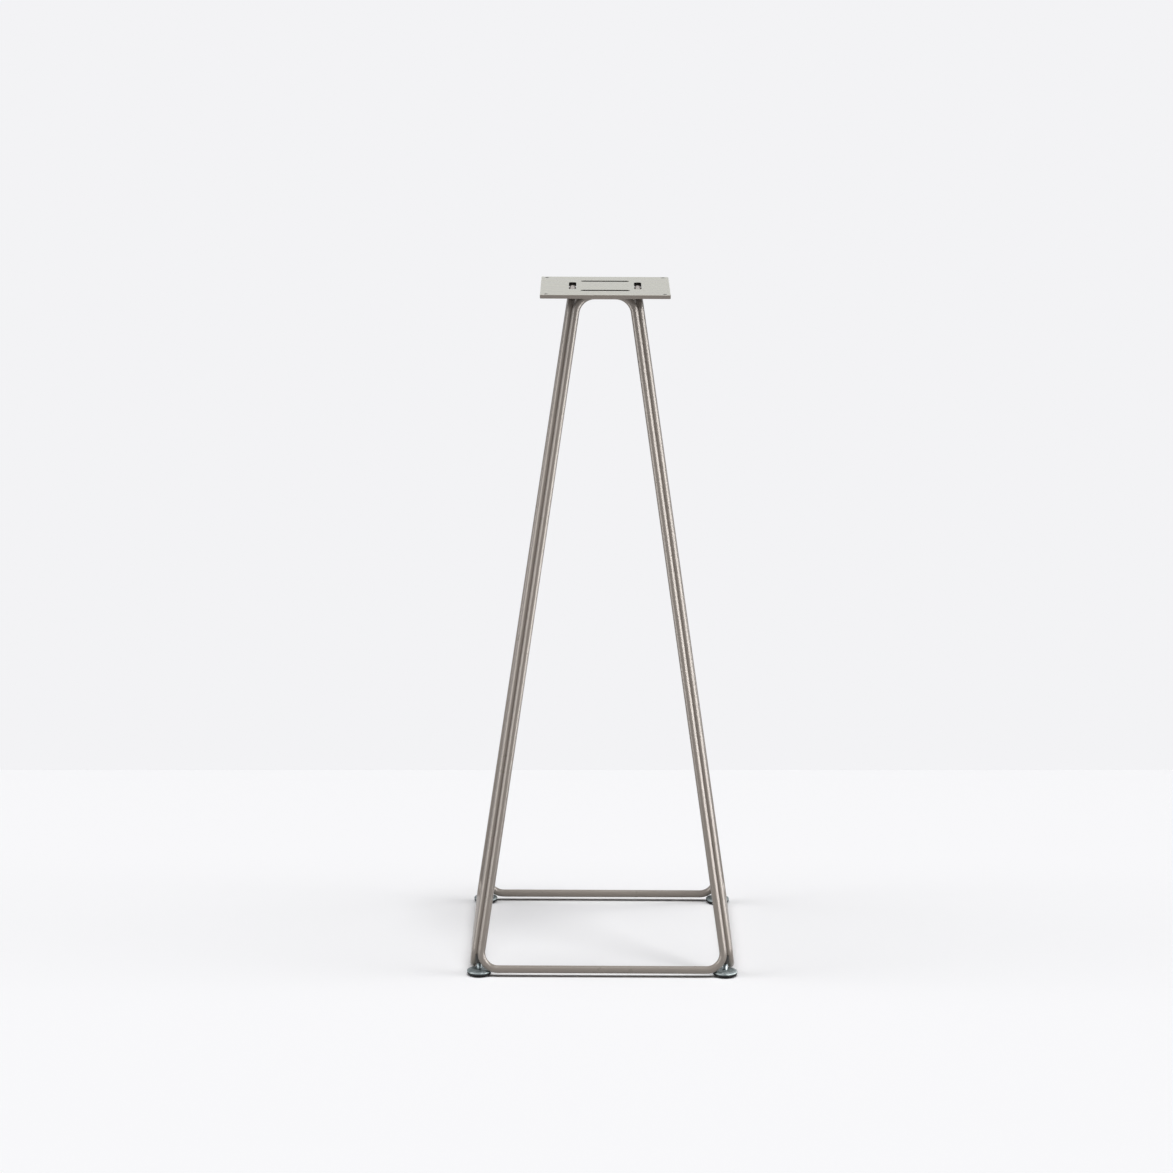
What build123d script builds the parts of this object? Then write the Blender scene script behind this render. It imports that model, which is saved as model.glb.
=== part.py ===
from build123d import *
import math
import os

# Bar table base in millimetres: floor at Z = 0, +Z up, front towards -Y, origin under the middle.
# Four equal loops of bent rod, one on each side, lean inwards under a square slotted plate.
# Neighbouring loops run side by side along each corner. A threaded bush in the fork where they
# part, near the floor, takes the stud of a levelling foot.

# Overall sizes
HEIGHT = 1056  # floor to the top of the plate
FLOOR_SPAN = 402  # between the centrelines of opposite floor rails
TOP_SPAN = 101  # between the centrelines of opposite top rails
RAIL_HEIGHT = 11.4  # floor to the centreline of a floor rail

# Bent rod
ROD_DIAMETER = 12
ROD_GAP = 0.16  # between the two rods along a corner
FLOOR_BEND = 26  # centreline radius of the lower bends
TOP_BEND = 30  # centreline radius of the upper bends

# Top plate
PLATE_SIDE = 200
PLATE_THICKNESS = 6
PLATE_CORNER = 3  # radius of the plate's corners in plan
PLATE_EDGE = 0.6  # rounding of the plate's edges
SLOT_BITE = 0.6  # how much narrower a slot is than the rod that rests in it
SLOT_ROOM = 5.5  # slot left open past the place where the rod dips under the plate
SEAT_GAP = 0.1  # between a top rail and the lower edges of its slot
SCREW_INSET = 9  # from the plate's edges to the middle of a screw hole
SCREW_HOLE = 6

# Corner bushes
BUSH_DIAMETER = 12
BUSH_BOTTOM = 19.5
BUSH_TOP = 33
BUSH_GAP = 0.1  # between a bush and the rods that it is welded to

# Levelling feet
STUD_DIAMETER = 8
STUD_TOP = 31.4  # height of the stud's upper end with the foot screwed home
STUD_CENTRING = 44  # height at which the stud's axis meets the middle of the two rods
STUD_CHAMFER = 1
STUD_NECK = 6  # diameter of the stud inside the cap's hole
STUD_HEAD = 12  # diameter of the head that keeps the stud in the cap
STUD_HEAD_THICKNESS = 2
BORE_END_GAP = 0.3  # between the stud's upper end and the end of its hole
RUNNING_GAP = 0.05  # all round the stud in its hole and in the cap
TURNING_GAP = 0.1  # above and below the cap's wall, so that the stud turns in it
CAP_DIAMETER = 38.4
CAP_WALL = 1.5
CAP_RIM = 4.4  # height of the cap's lower rim above the floor
CAP_SHOULDER = 6.6  # height at which the cap's side turns into its crown
CAP_CROWN_DIAMETER = 30  # ring at which the crown flattens
CAP_CROWN = 8.4  # height of that ring
CAP_FLAT = 14  # diameter of the flat round the stud
CAP_TOP = 9.6  # height of the flat
SOLE_GAP = 0.1  # between the sole and the cap
SOLE_FLANGE = 37.4  # diameter of the sole under the cap's rim
SOLE_TREAD = 26  # diameter of the sole on the floor
SOLE_BEVEL = 2.8  # height of the bevel from the tread to the flange
HEAD_GAP = 0.3  # round and under the stud's head in the sole

# Sizes that follow from those above
rod_radius = ROD_DIAMETER / 2
slot_width = ROD_DIAMETER - SLOT_BITE
screw_spacing = PLATE_SIDE - 2 * SCREW_INSET
plate_underside = HEIGHT - PLATE_THICKNESS
seat_drop = math.sqrt(rod_radius**2 - (slot_width / 2) ** 2) + SEAT_GAP
top_rail_height = plate_underside - seat_drop
lean = (FLOOR_SPAN - TOP_SPAN) / 2 / (top_rail_height - RAIL_HEIGHT)  # inward run for each unit of rise
side_step = (ROD_DIAMETER + ROD_GAP) / math.sqrt(2)  # a leg's place in from the neighbouring loop's plane
foot_offset = FLOOR_SPAN / 2 - side_step / 2 - lean * (STUD_CENTRING - RAIL_HEIGHT)

# Turns about Z from the front loop, and from the front left corner
frame_turns = {"front_frame": 0, "right_frame": 90, "back_frame": 180, "left_frame": 270}
corner_turns = {"front_left": 0, "front_right": 90, "back_right": 180, "back_left": 270}


def frame_plane():
    """Plane of the front loop: its origin is the middle of the floor rail, and it leans back."""
    slope = math.atan(lean)
    return Plane(
        origin=(0, -FLOOR_SPAN / 2, RAIL_HEIGHT),
        x_dir=(1, 0, 0),
        z_dir=(0, -math.cos(slope), math.sin(slope)),
    )


def front_loop(radius):
    """Round rod of the given radius along the front loop's line, with its lower and upper bends."""
    rise = (top_rail_height - RAIL_HEIGHT) * math.hypot(1, lean)
    floor_half = FLOOR_SPAN / 2 - side_step
    top_half = TOP_SPAN / 2 - side_step
    corners = [(-floor_half, 0), (floor_half, 0), (top_half, rise), (-top_half, rise)]
    bends = [FLOOR_BEND, FLOOR_BEND, TOP_BEND, TOP_BEND]
    line = frame_plane() * FilletPolyline(corners, radius=bends, close=True).wire()
    section = Plane(origin=line @ 0, z_dir=line % 0) * Circle(radius)
    return sweep(section, path=line)


def at_corner(piece, turn):
    """A piece made round the Z axis, moved to the corner that lies that turn from the front left."""
    return Rot(0, 0, turn) * Pos(-foot_offset, -foot_offset, 0) * piece


def upright(radius, low, high):
    """Upright cylinder round the Z axis between two heights."""
    return Pos(0, 0, low) * Cylinder(radius, high - low, align=(Align.CENTER, Align.CENTER, Align.MIN))


def stud_bore():
    """Tapped hole for a stud, open downwards."""
    return upright(STUD_DIAMETER / 2 + RUNNING_GAP, 0, STUD_TOP + BORE_END_GAP)


def front_frame():
    """The loop at the front, bent from one round rod and grooved where the studs screw in."""
    return front_loop(rod_radius) - [at_corner(stud_bore(), turn) for turn in corner_turns.values()]


def front_left_bush():
    """Threaded bush in the front left fork, coped to the two rods that it is welded to."""
    cope = front_loop(rod_radius + BUSH_GAP)
    blank = upright(BUSH_DIAMETER / 2, BUSH_BOTTOM, BUSH_TOP) - stud_bore()
    return at_corner(blank, corner_turns["front_left"]) - cope - Rot(0, 0, frame_turns["left_frame"]) * cope


def slot_length():
    """Length of a slot: the top rail dips out of it at both ends, with room to spare."""
    turn = math.pi / 2 - math.atan(lean / math.hypot(1, lean))
    straight_half = TOP_SPAN / 2 - side_step - TOP_BEND * math.tan(turn / 2)
    outer_bend = TOP_BEND + rod_radius
    rise_in_slot = rod_radius - seat_drop
    dip_run = math.sqrt(outer_bend**2 - (outer_bend - rise_in_slot) ** 2)
    return 2 * (straight_half + dip_run + SLOT_ROOM)


def top_plate():
    """Square plate with a slot over each loop's top rail and a screw hole at each corner."""
    outline = RectangleRounded(PLATE_SIDE, PLATE_SIDE, PLATE_CORNER)
    plate = Pos(0, 0, plate_underside) * extrude(outline, PLATE_THICKNESS)
    rims = plate.faces().sort_by(Axis.Z)
    plate = fillet(rims[0].edges() + rims[-1].edges(), PLATE_EDGE)
    slot = Pos(0, -TOP_SPAN / 2) * SlotOverall(slot_length(), slot_width)
    openings = [Rot(0, 0, turn) * slot for turn in frame_turns.values()]
    openings += [spot * Circle(SCREW_HOLE / 2) for spot in GridLocations(screw_spacing, screw_spacing, 2, 2)]
    for opening in openings:
        plate -= Pos(0, 0, plate_underside) * extrude(opening, PLATE_THICKNESS)
    return plate


def turned(corners):
    """Solid of revolution round Z from the corners of its half section."""
    return revolve(make_face(Plane.XZ * Polyline(*corners, close=True)), Axis.Z)


def crown(inset):
    """Corners of the cap's crown from the middle out, moved down and in by inset."""
    return [
        (CAP_FLAT / 2, CAP_TOP - inset),
        (CAP_CROWN_DIAMETER / 2, CAP_CROWN - inset),
        (CAP_DIAMETER / 2 - inset, CAP_SHOULDER - inset),
    ]


def foot_cap():
    """Pressed round cap with a low crown, open below, with a hole for the stud's neck."""
    hole = STUD_NECK / 2 + RUNNING_GAP
    outer = CAP_DIAMETER / 2
    outside = [(hole, CAP_TOP), *crown(0), (outer, CAP_RIM)]
    inside = [(hole, CAP_TOP - CAP_WALL), *crown(CAP_WALL), (outer - CAP_WALL, CAP_RIM)]
    return turned(outside + inside[::-1])


def foot_sole():
    """Sole that fills the cap and stands below its rim, with a pocket for the stud's head."""
    inset = CAP_WALL + SOLE_GAP
    waist = CAP_DIAMETER / 2 - inset
    ledge = CAP_RIM - SOLE_GAP
    pocket = STUD_HEAD / 2 + HEAD_GAP
    pocket_floor = CAP_TOP - CAP_WALL - TURNING_GAP - STUD_HEAD_THICKNESS - HEAD_GAP
    underside = [(0, 0), (SOLE_TREAD / 2, 0), (SOLE_FLANGE / 2, SOLE_BEVEL)]
    flange = [(SOLE_FLANGE / 2, ledge), (waist, ledge)]
    pocket_walls = [(pocket, CAP_TOP - inset), (pocket, pocket_floor), (0, pocket_floor)]
    return turned(underside + flange + crown(inset)[::-1] + pocket_walls)


def foot_stud():
    """Stud with its neck in the cap's hole and its head under the cap's wall."""
    shank, neck, head = STUD_DIAMETER / 2, STUD_NECK / 2, STUD_HEAD / 2
    head_top = CAP_TOP - CAP_WALL - TURNING_GAP
    head_bottom = head_top - STUD_HEAD_THICKNESS
    shoulder = CAP_TOP + TURNING_GAP
    head_corners = [(0, head_bottom), (head, head_bottom), (head, head_top), (neck, head_top)]
    shank_corners = [(neck, shoulder), (shank, shoulder), (shank, STUD_TOP - STUD_CHAMFER)]
    end_corners = [(shank - STUD_CHAMFER, STUD_TOP), (0, STUD_TOP)]
    return turned(head_corners + shank_corners + end_corners)


def all_pieces():
    """Every piece of the base by name, in place."""
    pieces = {"top_plate": top_plate()}
    loop = front_frame()
    for name, turn in frame_turns.items():
        pieces[name] = Rot(0, 0, turn) * loop
    bush = front_left_bush()
    foot = {"foot_cap": foot_cap(), "foot_sole": foot_sole(), "foot_stud": foot_stud()}
    for corner, turn in corner_turns.items():
        pieces[f"{corner}_bush"] = Rot(0, 0, turn) * bush
        for name, piece in foot.items():
            pieces[f"{corner}_{name}"] = at_corner(piece, turn)
    return pieces


os.makedirs("parts", exist_ok=True)
for name, piece in all_pieces().items():
    export_step(piece, f"parts/{name}.step")
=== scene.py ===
import math

import bmesh
import bpy
from mathutils import Matrix, Vector


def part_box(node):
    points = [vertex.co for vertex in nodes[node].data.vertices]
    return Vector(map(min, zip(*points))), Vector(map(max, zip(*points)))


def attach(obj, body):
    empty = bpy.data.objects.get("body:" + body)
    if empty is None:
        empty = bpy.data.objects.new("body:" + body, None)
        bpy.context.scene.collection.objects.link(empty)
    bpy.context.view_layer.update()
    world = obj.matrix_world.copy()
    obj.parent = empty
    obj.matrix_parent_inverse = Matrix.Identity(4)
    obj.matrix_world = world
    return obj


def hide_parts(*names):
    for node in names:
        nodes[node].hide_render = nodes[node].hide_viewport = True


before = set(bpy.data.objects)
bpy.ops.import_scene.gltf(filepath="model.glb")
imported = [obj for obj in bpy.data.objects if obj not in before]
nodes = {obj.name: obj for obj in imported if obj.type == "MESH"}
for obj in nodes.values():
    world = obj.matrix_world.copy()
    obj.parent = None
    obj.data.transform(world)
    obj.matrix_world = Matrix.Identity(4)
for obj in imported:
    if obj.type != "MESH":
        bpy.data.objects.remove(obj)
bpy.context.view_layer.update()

scene = bpy.context.scene

# The camera that was fitted to the photograph, in metres, degrees and pixels of the photograph
PHOTO_SIDE = 1173
FOCAL_PIXELS = 3848.6
SENSOR = 36
CAMERA_AT = (-0.0232, -5.9262, 1.8976)
CAMERA_PITCH = 12.552
CAMERA_YAW = -0.037
CAMERA_ROLL = 0.228
CAMERA_REACH = 200.0

# The stage: the floor ends behind the base at a level line in the picture, and the backdrop begins.
FLOOR_LINE_PIXEL = 770
FLOOR_REACH = 6.0
FLOOR_COLOUR = (0.93, 0.93, 0.945)
FLOOR_ROUGHNESS = 0.9
FLOOR_GLOSS = 0.0
BACKDROP_COLOUR = (0.896, 0.896, 0.913)
AMBIENT_COLOUR = (0.04, 0.04, 0.041)

# Softboxes, in metres and watts: a wide one far above, and a strip on each side for the highlights.
# Each strip has its place, its width and its power.
OVERHEAD_AT = (0, -1, 20)
OVERHEAD_TARGET = (0, 0, 0)
OVERHEAD_SIZE = (56, 10)
OVERHEAD_POWER = 6300
OVERHEAD_COLOUR = (1, 1, 1)
STRIP_TARGET = (0, 0, 0.75)
STRIP_HEIGHT = 1.5
STRIP_COLOUR = (1.0, 0.955, 0.915)
STRIPS = {
    "right_strip": ((1.22, -0.45, 0.75), 1.5, 85),
    "left_strip": ((-1.3, -0.6, 0.75), 1.2, 32),
}

# Suns: each has the direction towards it, its strength and its width in degrees.
KEY = ((0.152, -0.123, 1), 0.60, 9)
FILLS = {
    "front_fill": ((0.1, -1, 0.25), 1.3, 120),
    "back_fill": ((-0.1, 1, 0.25), 0.8, 120),
}

# Colours of the finishes
TAUPE_DEEP = (0.220, 0.191, 0.165)
TAUPE_PALE = (0.226, 0.196, 0.170)
TAUPE_SPECK = (0.240, 0.210, 0.183)
# Painted light: the plate's top is given a paler, greener tone than its taupe sides
PLATE_DEEP = (0.238, 0.234, 0.180)
PLATE_PALE = (0.285, 0.280, 0.221)
# Painted highlight on the plate's edges that slope upwards
PLATE_EDGE_HIGHLIGHT = (0.60, 0.58, 0.52)
# Painted shade: the bushes in the forks between the rods are near black
BUSH_SHADE_DEEP = (0.030, 0.029, 0.027)
BUSH_SHADE_PALE = (0.062, 0.058, 0.052)
STUD_DEEP = (0.13, 0.165, 0.172)
STUD_PALE = (0.33, 0.37, 0.39)
CAP_DEEP = (0.092, 0.114, 0.118)
CAP_PALE = (0.235, 0.264, 0.272)
# Painted shade on the walls of the slots and screw holes, and under the plate's middle
SLOT_PAINTED_SHADE = (0.012, 0.010, 0.009)
NYLON_DEEP = (0.006, 0.006, 0.007)
NYLON_PALE = (0.016, 0.016, 0.017)

# Roughness of the finishes, from the smoothest spots to the roughest
PAINT_ROUGHNESS = (0.27, 0.31)
BUSH_ROUGHNESS = (0.5, 0.65)
PLATE_ROUGHNESS = (0.15, 0.25)
STUD_ROUGHNESS = (0.24, 0.42)
CAP_ROUGHNESS = (0.5, 0.65)
NYLON_ROUGHNESS = (0.55, 0.7)

# Noise: its detail in octaves, and the values between which most of it lies
SOFT_DETAIL = 2.0
PLAIN_DETAIL = 3.0
RICH_DETAIL = 4.0
NOISE_LOW = 0.3
NOISE_HIGH = 0.7

# Scales of the noises, in waves to the metre. A cloud changes the tone, and a sheen the roughness.
TAUPE_CLOUD = 7.0
TAUPE_SPECKLE = 1500.0
TAUPE_SHEEN = 60.0
COAT_PEEL = 420.0
COAT_GRAIN = 1500.0
BUSH_SHADE_CLOUD = 260.0
BUSH_SHEEN = 120.0
ZINC_CLOUD = 180.0
ZINC_SHEEN = 420.0
ZINC_GRAIN = 900.0
NYLON_CLOUD = 300.0
NYLON_SHEEN = 500.0
NYLON_GRAIN = 1600.0

# Bumps: the strength and the height in metres
PEEL_BUMP = (0.012, 0.0003)
COAT_GRAIN_BUMP = (0.012, 0.0001)
ZINC_GRAIN_BUMP = (0.15, 0.0002)
NYLON_GRAIN_BUMP = (0.2, 0.0001)

# The plate's streaks, painted reflection in the top's colour and real changes of its roughness: their
# slant in degrees, their size along each axis in metres, and the number of waves in that size
STREAK_SLANT = -24
STREAK_SIZE = (0.25, 0.012, 0.25)
STREAK_WAVES = 1.0

# Where a change of colour starts and ends: values of the speckle's and the streaks' noise, and the rise
# of the normal on the plate's upward-sloping edges, which get a painted highlight, and on its top, which
# is painted paler
SPECKLE_SPAN = (0.55, 0.75)
STREAK_SPAN = (0.35, 0.65)
EDGE_HIGHLIGHT_RISE = (0.5, 0.65)
TOP_RISE = (0.9, 0.99)

# Half the side of the middle part of the plate that holds every slot and screw hole, in metres, and
# where its painted shade has ended
SLOT_REACH = 0.096
SLOT_REACH_END = SLOT_REACH * 1.001

# The levelling feet, in metres where they aren't taken from the solids. A turn of the thread has STEPS
# rings, a ring has SIDES corners, and edges that bend by more than CRISP degrees stay crisp.
CORNERS = ("front_left", "front_right", "back_left", "back_right")
THREAD_PITCH = 0.00125
THREAD_DEPTH = 0.00062
THREAD_STEPS = 8
THREAD_SIDES = 32
STUD_RADIUS = 0.004
STUD_CHAMFER = 0.001
STUD_CRISP = 40
NECK_RADIUS = 0.003
NECK_ROOM = 0.00005
HEAD_THICKNESS = 0.002
SHOULDER_RISE = 0.0017
CAP_WALL = 0.0015
CAP_FLAT_RADIUS = 0.007
CAP_LIP = 0.0012
CAP_SIDE = 0.0003
CAP_SIDES = 96
CAP_CRISP = 50
DOME_STEPS = 20
DOME_POWER = 2.4


def link(obj):
    scene.collection.objects.link(obj)
    return obj


def make_camera():
    """Camera at the photograph's place, angle and field of view."""
    pitch, yaw, roll = (math.radians(a) for a in (CAMERA_PITCH, CAMERA_YAW, CAMERA_ROLL))
    right = Vector((math.cos(yaw), -math.sin(yaw), 0))
    ahead = Vector((math.sin(yaw), math.cos(yaw), 0))
    zenith = Vector((0, 0, 1))
    forward = math.cos(pitch) * ahead - math.sin(pitch) * zenith
    up = math.sin(pitch) * ahead + math.cos(pitch) * zenith
    turn = Matrix.Rotation(roll, 3, -forward)
    axes = Matrix((turn @ right, turn @ up, -forward)).transposed()
    data = bpy.data.cameras.new("camera")
    data.sensor_width = SENSOR
    data.lens = FOCAL_PIXELS / PHOTO_SIDE * SENSOR
    data.clip_end = CAMERA_REACH
    camera = link(bpy.data.objects.new("camera", data))
    camera.matrix_world = Matrix.Translation(CAMERA_AT) @ axes.to_4x4()
    scene.camera = camera
    return axes


def floor_point(axes, column, row):
    """Point of the floor that the photograph shows at a pixel."""
    middle = PHOTO_SIDE / 2
    ray = axes @ Vector((column - middle, middle - row, -FOCAL_PIXELS))
    return Vector(CAMERA_AT) - ray * (CAMERA_AT[2] / ray.z)


def make_floor(axes):
    """Pale floor whose far edge lies level in the picture."""
    left = floor_point(axes, 0, FLOOR_LINE_PIXEL)
    right = floor_point(axes, PHOTO_SIDE, FLOOR_LINE_PIXEL)
    along = (right - left).normalized() * FLOOR_REACH
    near = Vector((0, -FLOOR_REACH, 0))
    corners = [left - along + near, right + along + near, right + along, left - along]
    mesh = bpy.data.meshes.new("floor")
    mesh.from_pydata(corners, [], [(0, 1, 2, 3)])
    floor = link(bpy.data.objects.new("floor", mesh))
    material = bpy.data.materials.new("floor")
    material.use_nodes = True
    shader = material.node_tree.nodes["Principled BSDF"]
    shader.inputs["Base Color"].default_value = (*FLOOR_COLOUR, 1)
    shader.inputs["Roughness"].default_value = FLOOR_ROUGHNESS
    shader.inputs["Specular IOR Level"].default_value = FLOOR_GLOSS
    mesh.materials.append(material)


def make_world():
    """Even ambient light; the camera, reflections and clear surfaces see the pale backdrop."""
    world = bpy.data.worlds.new("studio")
    world.use_nodes = True
    scene.world = world
    tree = world.node_tree
    tree.nodes.clear()
    rays = tree.nodes.new("ShaderNodeLightPath")
    ambient = tree.nodes.new("ShaderNodeBackground")
    ambient.inputs["Color"].default_value = (*AMBIENT_COLOUR, 1)
    seen = tree.nodes.new("ShaderNodeBackground")
    seen.inputs["Color"].default_value = (*BACKDROP_COLOUR, 1)
    mix = tree.nodes.new("ShaderNodeMixShader")
    output = tree.nodes.new("ShaderNodeOutputWorld")
    shows = rays.outputs["Is Camera Ray"]
    for other in ("Is Glossy Ray", "Is Transmission Ray"):
        either = tree.nodes.new("ShaderNodeMath")
        either.operation = "MAXIMUM"
        tree.links.new(shows, either.inputs[0])
        tree.links.new(rays.outputs[other], either.inputs[1])
        shows = either.outputs[0]
    tree.links.new(shows, mix.inputs[0])
    tree.links.new(ambient.outputs[0], mix.inputs[1])
    tree.links.new(seen.outputs[0], mix.inputs[2])
    tree.links.new(mix.outputs[0], output.inputs[0])


def make_sun(name, towards, strength, width):
    """Soft distant lamp; towards points from the base to the lamp."""
    data = bpy.data.lights.new(name, "SUN")
    data.energy = strength
    data.angle = math.radians(width)
    lamp = link(bpy.data.objects.new(name, data))
    lamp.rotation_mode = "QUATERNION"
    lamp.rotation_quaternion = Vector(towards).to_track_quat("Z", "Y")
    return lamp


def make_softbox(name, at, target, size, power, colour):
    """Rectangular lamp that faces target."""
    data = bpy.data.lights.new(name, "AREA")
    data.shape = "RECTANGLE"
    data.size, data.size_y = size
    data.energy = power
    data.color = colour
    lamp = link(bpy.data.objects.new(name, data))
    lamp.location = at
    lamp.rotation_mode = "QUATERNION"
    lamp.rotation_quaternion = (Vector(at) - Vector(target)).to_track_quat("Z", "Y")
    lamp.visible_camera = False
    return lamp


def make_strip(name):
    """Tall softbox beside the base that shows in reflections alone."""
    at, width, power = STRIPS[name]
    strip = make_softbox(name, at, STRIP_TARGET, (width, STRIP_HEIGHT), power, STRIP_COLOUR)
    strip.visible_diffuse = False
    return strip


def light_only(lamp, objects):
    """Lets a lamp light these objects alone."""
    lit = bpy.data.collections.new(f"lit_by_{lamp.name}")
    for obj in objects:
        lit.objects.link(obj)
    lamp.light_linking.receiver_collection = lit


class Surface:
    """A procedural material: its shader, and the noises that feed it, all in the part's own frame."""

    def __init__(self, name):
        self.material = bpy.data.materials.new(name)
        self.material.use_nodes = True
        self.tree = self.material.node_tree
        self.shader = self.tree.nodes["Principled BSDF"]
        self.place = self.tree.nodes.new("ShaderNodeTexCoord").outputs["Object"]

    def set(self, name, value):
        self.shader.inputs[name].default_value = value

    def feed(self, name, socket):
        self.tree.links.new(socket, self.shader.inputs[name])

    def add(self, kind, inputs):
        """New node whose inputs are linked to sockets or set to values."""
        node = self.tree.nodes.new(kind)
        for name, value in inputs.items():
            if isinstance(value, bpy.types.NodeSocket):
                self.tree.links.new(value, node.inputs[name])
            else:
                node.inputs[name].default_value = value
        return node

    def computed(self, operation, *values):
        """Result of a math node on one or two sockets."""
        node = self.tree.nodes.new("ShaderNodeMath")
        node.operation = operation
        for value, socket in zip(values, node.inputs):
            self.tree.links.new(value, socket)
        return node.outputs[0]

    def placed(self, turn, size):
        """Place in the part's frame, turned about Z by degrees and counted in size along each axis."""
        values = {"Vector": self.place, "Rotation": (0, 0, math.radians(turn)), "Scale": size}
        node = self.add("ShaderNodeMapping", values)
        node.vector_type = "TEXTURE"
        return node.outputs["Vector"]

    def noise(self, scale, detail=PLAIN_DETAIL, place=None):
        values = {"Vector": place or self.place, "Scale": scale, "Detail": detail}
        return self.add("ShaderNodeTexNoise", values).outputs["Fac"]

    def spread(self, value, low=0.0, high=1.0, start=NOISE_LOW, end=NOISE_HIGH):
        """Maps value from start..end to low..high."""
        limits = {"From Min": start, "From Max": end, "To Min": low, "To Max": high}
        return self.add("ShaderNodeMapRange", {"Value": value, **limits}).outputs["Result"]

    def step(self, value, span):
        """0 where value is under the span's start, 1 where it is over its end."""
        start, end = span
        return self.spread(value, start=start, end=end)

    def blend(self, factor, first, second):
        """Colour between first and second, each a socket or a colour."""
        node = self.tree.nodes.new("ShaderNodeMix")
        node.data_type = "RGBA"
        self.tree.links.new(factor, node.inputs["Factor"])
        for name, value in (("A_Color", first), ("B_Color", second)):
            socket = next(s for s in node.inputs if s.identifier == name)
            if isinstance(value, bpy.types.NodeSocket):
                self.tree.links.new(value, socket)
            else:
                socket.default_value = (*value, 1)
        return next(s for s in node.outputs if s.identifier == "Result_Color")

    def cloud(self, deep, pale, scale, detail=PLAIN_DETAIL):
        """Colour that drifts between two tones."""
        return self.blend(self.spread(self.noise(scale, detail)), deep, pale)

    def sheen(self, roughness, scale, detail=PLAIN_DETAIL):
        """Makes the roughness drift between two limits."""
        self.feed("Roughness", self.spread(self.noise(scale, detail), *roughness))

    def facing_up(self, span):
        """How far the surface faces up: 0 where its normal's rise is under the span, 1 where over it."""
        normal = self.tree.nodes.new("ShaderNodeNewGeometry").outputs["Normal"]
        rise = self.add("ShaderNodeSeparateXYZ", {"Vector": normal}).outputs["Z"]
        return self.step(rise, span)

    def slot_shade_mask(self):
        """1 where the place lies within the plate's middle part along both X and Y, otherwise 0: where
        the plate gets painted shade.
        """
        place = self.add("ShaderNodeSeparateXYZ", {"Vector": self.place})
        away = (self.computed("ABSOLUTE", place.outputs[name]) for name in ("X", "Y"))
        near = (self.spread(distance, 1.0, 0.0, SLOT_REACH, SLOT_REACH_END) for distance in away)
        return self.computed("MULTIPLY", *near)

    def bump(self, height, amount, under=None):
        strength, distance = amount
        values = {"Height": height, "Strength": strength, "Distance": distance}
        if under:
            values["Normal"] = under
        return self.add("ShaderNodeBump", values).outputs["Normal"]


def paint_tone(s):
    """Taupe with slow changes of tone and a faint speckle."""
    tone = s.cloud(TAUPE_DEEP, TAUPE_PALE, TAUPE_CLOUD)
    return s.blend(s.step(s.noise(TAUPE_SPECKLE, SOFT_DETAIL), SPECKLE_SPAN), tone, TAUPE_SPECK)


def paint_skin(s):
    """Orange peel of a powder coat, with a finer grain on it."""
    peel = s.bump(s.noise(COAT_PEEL, SOFT_DETAIL), PEEL_BUMP)
    s.feed("Normal", s.bump(s.noise(COAT_GRAIN, SOFT_DETAIL), COAT_GRAIN_BUMP, peel))


def paint_material():
    """Satin taupe powder coat on the loops."""
    s = Surface("taupe_paint")
    s.feed("Base Color", paint_tone(s))
    s.sheen(PAINT_ROUGHNESS, TAUPE_SHEEN, RICH_DETAIL)
    paint_skin(s)
    return s.material


def bush_shade_material():
    """Painted shade on the bushes: a near-black coat that stands in for the shade in the forks between
    the rods.
    """
    s = Surface("bush_painted_shade")
    s.feed("Base Color", s.cloud(BUSH_SHADE_DEEP, BUSH_SHADE_PALE, BUSH_SHADE_CLOUD))
    s.sheen(BUSH_ROUGHNESS, BUSH_SHEEN, RICH_DETAIL)
    paint_skin(s)
    return s.material


def plate_material():
    """The plate: taupe sides, a painted highlight on its upward-sloping edges, painted shade on the slot
    and hole walls of its middle part, and a top painted paler with faint slanting streaks of painted
    reflection.
    """
    s = Surface("taupe_plate")
    # Painted light: the top face is painted paler than the sides, and the streaks in its colour are
    # painted reflection; the same streaks vary the roughness
    streaks = s.noise(STREAK_WAVES, RICH_DETAIL, s.placed(STREAK_SLANT, STREAK_SIZE))
    top = s.blend(s.step(streaks, STREAK_SPAN), PLATE_DEEP, PLATE_PALE)
    # Painted highlight: faces that slope upwards at the plate's edges turn pale
    edge_highlighted = s.blend(s.facing_up(EDGE_HIGHLIGHT_RISE), paint_tone(s), PLATE_EDGE_HIGHLIGHT)
    # Painted shade: faces in the plate's middle part that do not face up turn near black
    sides_with_painted_light = s.blend(s.slot_shade_mask(), edge_highlighted, SLOT_PAINTED_SHADE)
    s.feed("Base Color", s.blend(s.facing_up(TOP_RISE), sides_with_painted_light, top))
    s.feed("Roughness", s.spread(streaks, *PLATE_ROUGHNESS))
    paint_skin(s)
    return s.material


def zinc_material(name, deep, pale, roughness):
    """Zinc plating: cloudy tone between two colours, with a fine grain."""
    s = Surface(name)
    s.set("Metallic", 1.0)
    s.feed("Base Color", s.cloud(deep, pale, ZINC_CLOUD, RICH_DETAIL))
    s.sheen(roughness, ZINC_SHEEN, RICH_DETAIL)
    s.feed("Normal", s.bump(s.noise(ZINC_GRAIN), ZINC_GRAIN_BUMP))
    return s.material


def nylon_material():
    """Black moulded nylon with a matt grain."""
    s = Surface("black_nylon")
    s.feed("Base Color", s.cloud(NYLON_DEEP, NYLON_PALE, NYLON_CLOUD))
    s.sheen(NYLON_ROUGHNESS, NYLON_SHEEN)
    s.feed("Normal", s.bump(s.noise(NYLON_GRAIN, SOFT_DETAIL), NYLON_GRAIN_BUMP))
    return s.material


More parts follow.
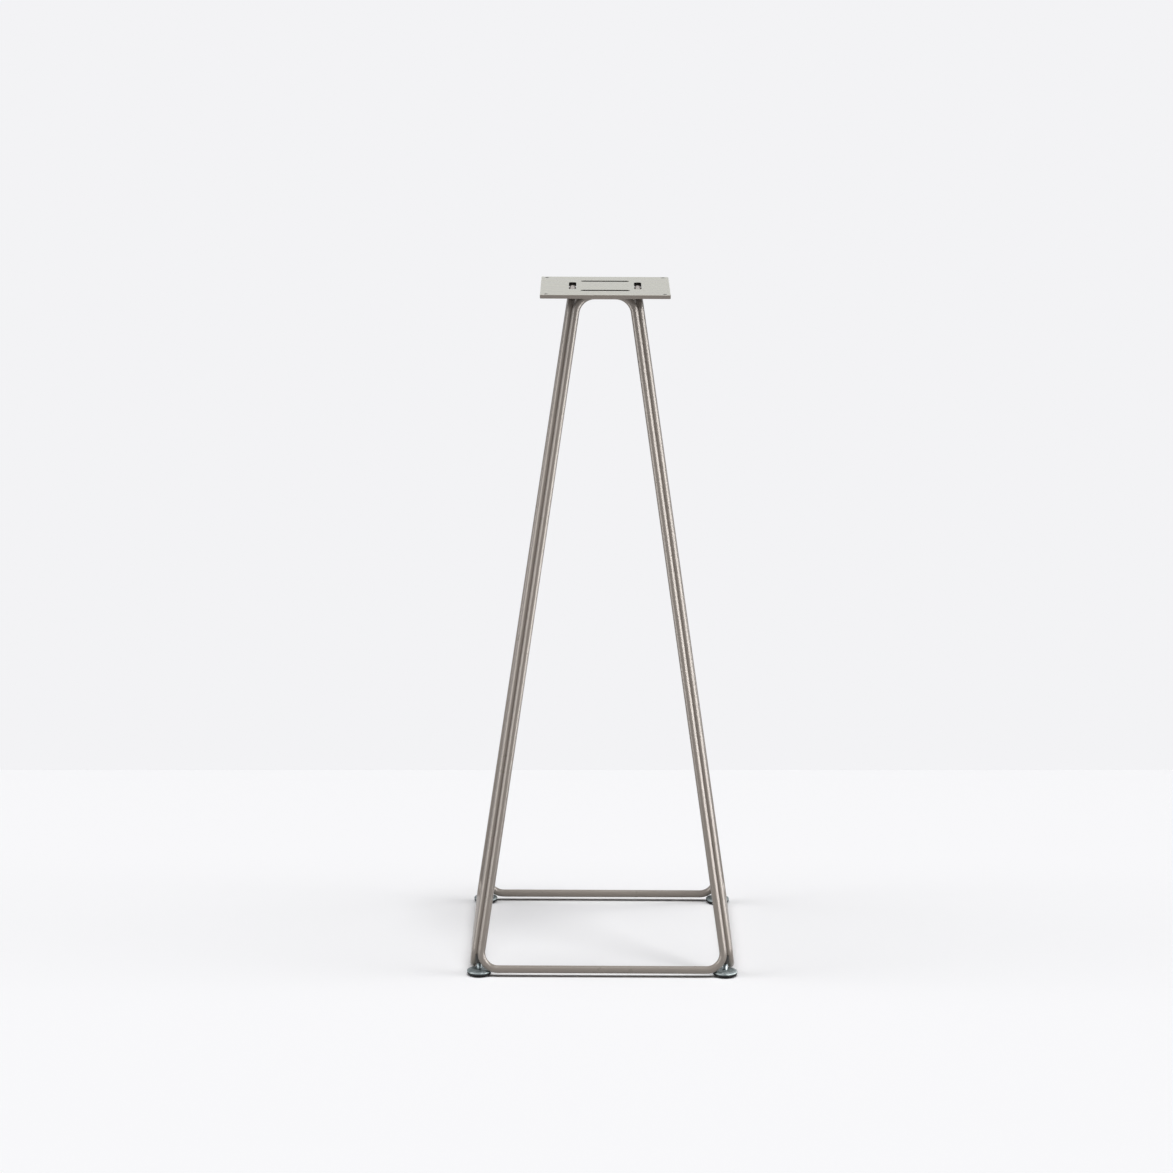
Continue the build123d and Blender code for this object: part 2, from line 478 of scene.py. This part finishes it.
def turned(name, axis, sides_with_painted_light, heights, radius_at, closed):
    """Mesh made of rings round an upright axis; radius_at gives a ring's radius at each side."""
    bm = bmesh.new()
    rings = []
    for level, height in enumerate(heights):
        ring = []
        for side in range(sides_with_painted_light):
            angle = math.tau * side / sides_with_painted_light
            radius = radius_at(level, side)
            x = axis.x + radius * math.cos(angle)
            y = axis.y + radius * math.sin(angle)
            ring.append(bm.verts.new((x, y, height)))
        rings.append(ring)
    pairs = list(zip(rings, rings[1:]))
    if closed:
        pairs.append((rings[-1], rings[0]))
    else:
        bm.faces.new(rings[0])
        bm.faces.new(rings[-1])
    for low, high in pairs:
        for side in range(sides_with_painted_light):
            following = (side + 1) % sides_with_painted_light
            bm.faces.new((low[side], low[following], high[following], high[side]))
    bmesh.ops.recalc_face_normals(bm, faces=bm.faces)
    mesh = bpy.data.meshes.new(name)
    bm.to_mesh(mesh)
    bm.free()
    return link(bpy.data.objects.new(name, mesh))


def smooth(obj, degrees):
    """Smooth shading, with edges sharper than that angle left crisp."""
    obj.data.shade_smooth()
    obj.data.set_sharp_from_angle(angle=math.radians(degrees))


def dome(reach, foot, top):
    """Quarter of an oval, fuller than an ellipse, from the flat round the stud to the cap's side.

    Its points are (radius, height).
    """
    points = []
    for step in range(DOME_STEPS + 1):
        angle = math.pi / 2 * (1 - step / DOME_STEPS)
        run = abs(math.cos(angle)) ** (2 / DOME_POWER)
        rise = abs(math.sin(angle)) ** (2 / DOME_POWER)
        points.append((CAP_FLAT_RADIUS + (reach - CAP_FLAT_RADIUS) * run, foot + (top - foot) * rise))
    return points


def axis_of(node):
    low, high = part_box(node)
    return (low + high) / 2


def make_cap(corner):
    """Domed cap with a rolled lip, in place of the cone-sided solid."""
    node = f"{corner}_foot_cap"
    low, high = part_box(node)
    radius = (high.x - low.x) / 2
    hole = NECK_RADIUS + NECK_ROOM
    under = high.z - CAP_WALL
    outside = [(hole, high.z)] + dome(radius, low.z + CAP_LIP + CAP_SIDE, high.z)
    lip = [(radius, low.z + CAP_LIP), (radius - CAP_LIP, low.z), (radius - CAP_WALL, low.z)]
    inside = dome(radius - CAP_WALL, low.z + CAP_LIP, under)[::-1] + [(hole, under)]
    profile = outside + lip + inside
    heights = [height for _, height in profile]

    def radius_at(level, side):
        return profile[level][0]

    cap = turned(f"{corner}_domed_cap", axis_of(node), CAP_SIDES, heights, radius_at, True)
    smooth(cap, CAP_CRISP)
    return cap


def make_stud(corner):
    """Stud with its screw thread, in place of the plain one."""
    node = f"{corner}_foot_stud"
    low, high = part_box(node)
    head = (high.x - low.x) / 2
    core = STUD_RADIUS - THREAD_DEPTH
    head_top = low.z + HEAD_THICKNESS
    thread_foot = head_top + SHOULDER_RISE
    plain = [(head, low.z), (head, head_top), (NECK_RADIUS, head_top), (NECK_RADIUS, thread_foot)]
    levels = round((high.z - thread_foot) / THREAD_PITCH * THREAD_STEPS)
    heights = [height for _, height in plain]
    heights += [thread_foot + (high.z - thread_foot) * i / levels for i in range(levels + 1)]

    def radius_at(level, side):
        if level < len(plain):
            return plain[level][0]
        turns = (heights[level] - thread_foot) / THREAD_PITCH - side / THREAD_SIDES
        flank = abs(2 * (turns % 1) - 1)
        end = STUD_RADIUS - STUD_CHAMFER + min(heights[level] - thread_foot, high.z - heights[level])
        return min(core + THREAD_DEPTH * flank, end)

    stud = turned(f"{corner}_threaded_stud", axis_of(node), THREAD_SIDES, heights, radius_at, False)
    smooth(stud, STUD_CRISP)
    return stud


def dress(obj, finish):
    obj.data.materials.clear()
    obj.data.materials.append(finish)


# Stage
axes = make_camera()
make_world()
make_floor(axes)
overhead = make_softbox(
    "overhead", OVERHEAD_AT, OVERHEAD_TARGET, OVERHEAD_SIZE, OVERHEAD_POWER, OVERHEAD_COLOUR)
overhead.visible_glossy = False
make_sun("key", *KEY)
fills = [make_sun(name, *values) for name, values in FILLS.items()]
strips = [make_strip(name) for name in STRIPS]
scene.view_settings.view_transform = "Standard"

# Finishes, by the end of a node's name
bright_zinc = zinc_material("bright_zinc", STUD_DEEP, STUD_PALE, STUD_ROUGHNESS)
dull_zinc = zinc_material("dull_zinc", CAP_DEEP, CAP_PALE, CAP_ROUGHNESS)
finishes = {
    "_plate": plate_material(),
    "_frame": paint_material(),
    "_bush": bush_shade_material(),
    "_sole": nylon_material(),
    "_cap": dull_zinc,
    "_stud": bright_zinc,
}
for name, obj in nodes.items():
    dress(obj, next(finish for ending, finish in finishes.items() if name.endswith(ending)))

# Detailed feet
pieces = []
for corner in CORNERS:
    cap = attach(make_cap(corner), f"{corner}_foot")
    dress(cap, dull_zinc)
    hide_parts(f"{corner}_foot_cap")
    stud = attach(make_stud(corner), f"{corner}_stud")
    dress(stud, bright_zinc)
    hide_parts(f"{corner}_foot_stud")
    pieces += [cap, stud]

# The fills light the loops and the plate alone, and the strips shine on the loops and the new pieces.
loops = [obj for name, obj in nodes.items() if name.endswith("_frame")]
for fill in fills:
    fill.visible_glossy = False
    light_only(fill, loops + [nodes["top_plate"]])
for strip in strips:
    light_only(strip, loops + pieces)
